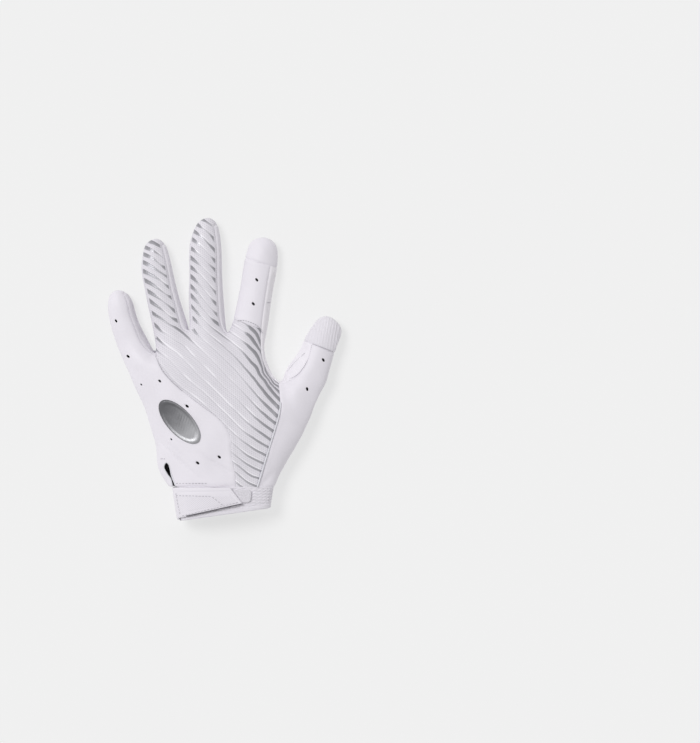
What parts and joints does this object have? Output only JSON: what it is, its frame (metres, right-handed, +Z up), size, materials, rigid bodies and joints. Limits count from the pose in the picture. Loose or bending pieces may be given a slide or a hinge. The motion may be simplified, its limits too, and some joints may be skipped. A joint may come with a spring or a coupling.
{
  "type": "football receiver glove, left hand",
  "caption": "Left-hand receiver glove with striped knit back, side walls between the fingers and a strapped cuff.",
  "frame": {"origin": "centre of the bounding box in plan, on the surface that the palm lies on", "axes": "+Y to the fingertips, +X to the thumb, +Z up out of the back of the hand"},
  "size_m": [0.1762, 0.229, 0.0293],
  "materials": {
    "grip_palm": "matte, tacky",
    "plain_knit": "matte, fine knit",
    "striped_knit": "matte knit with a silver-grey foil print",
    "side_wall_mesh": "matte",
    "rib_knit": "matte, ribbed",
    "strap_cloth": "matte, diagonal rib",
    "hook_and_loop": "matte, fuzzy",
    "piping_cord": "satin",
    "badge_film": "satin metallic grey"
  },
  "bodies": {
    "root": {"palm_panel": "grip_palm", "side_panel": "plain_knit", "back_panel": "striped_knit", "index_back_panel": "plain_knit", "index_tip_cap": "plain_knit", "thumb_back_panel": "plain_knit", "thumb_tip_cap": "rib_knit", "thumb_gusset": "side_wall_mesh", "index_side_wall": "side_wall_mesh", "fourchette_little_ring": "side_wall_mesh", "fourchette_ring_middle": "side_wall_mesh", "fourchette_middle_index": "side_wall_mesh", "thumb_seam_piping": "piping_cord", "back_badge": "badge_film", "cuff": "rib_knit", "wrist_strap": "strap_cloth", "strap_loop_pad": "hook_and_loop"}
  },
  "joints": []
}
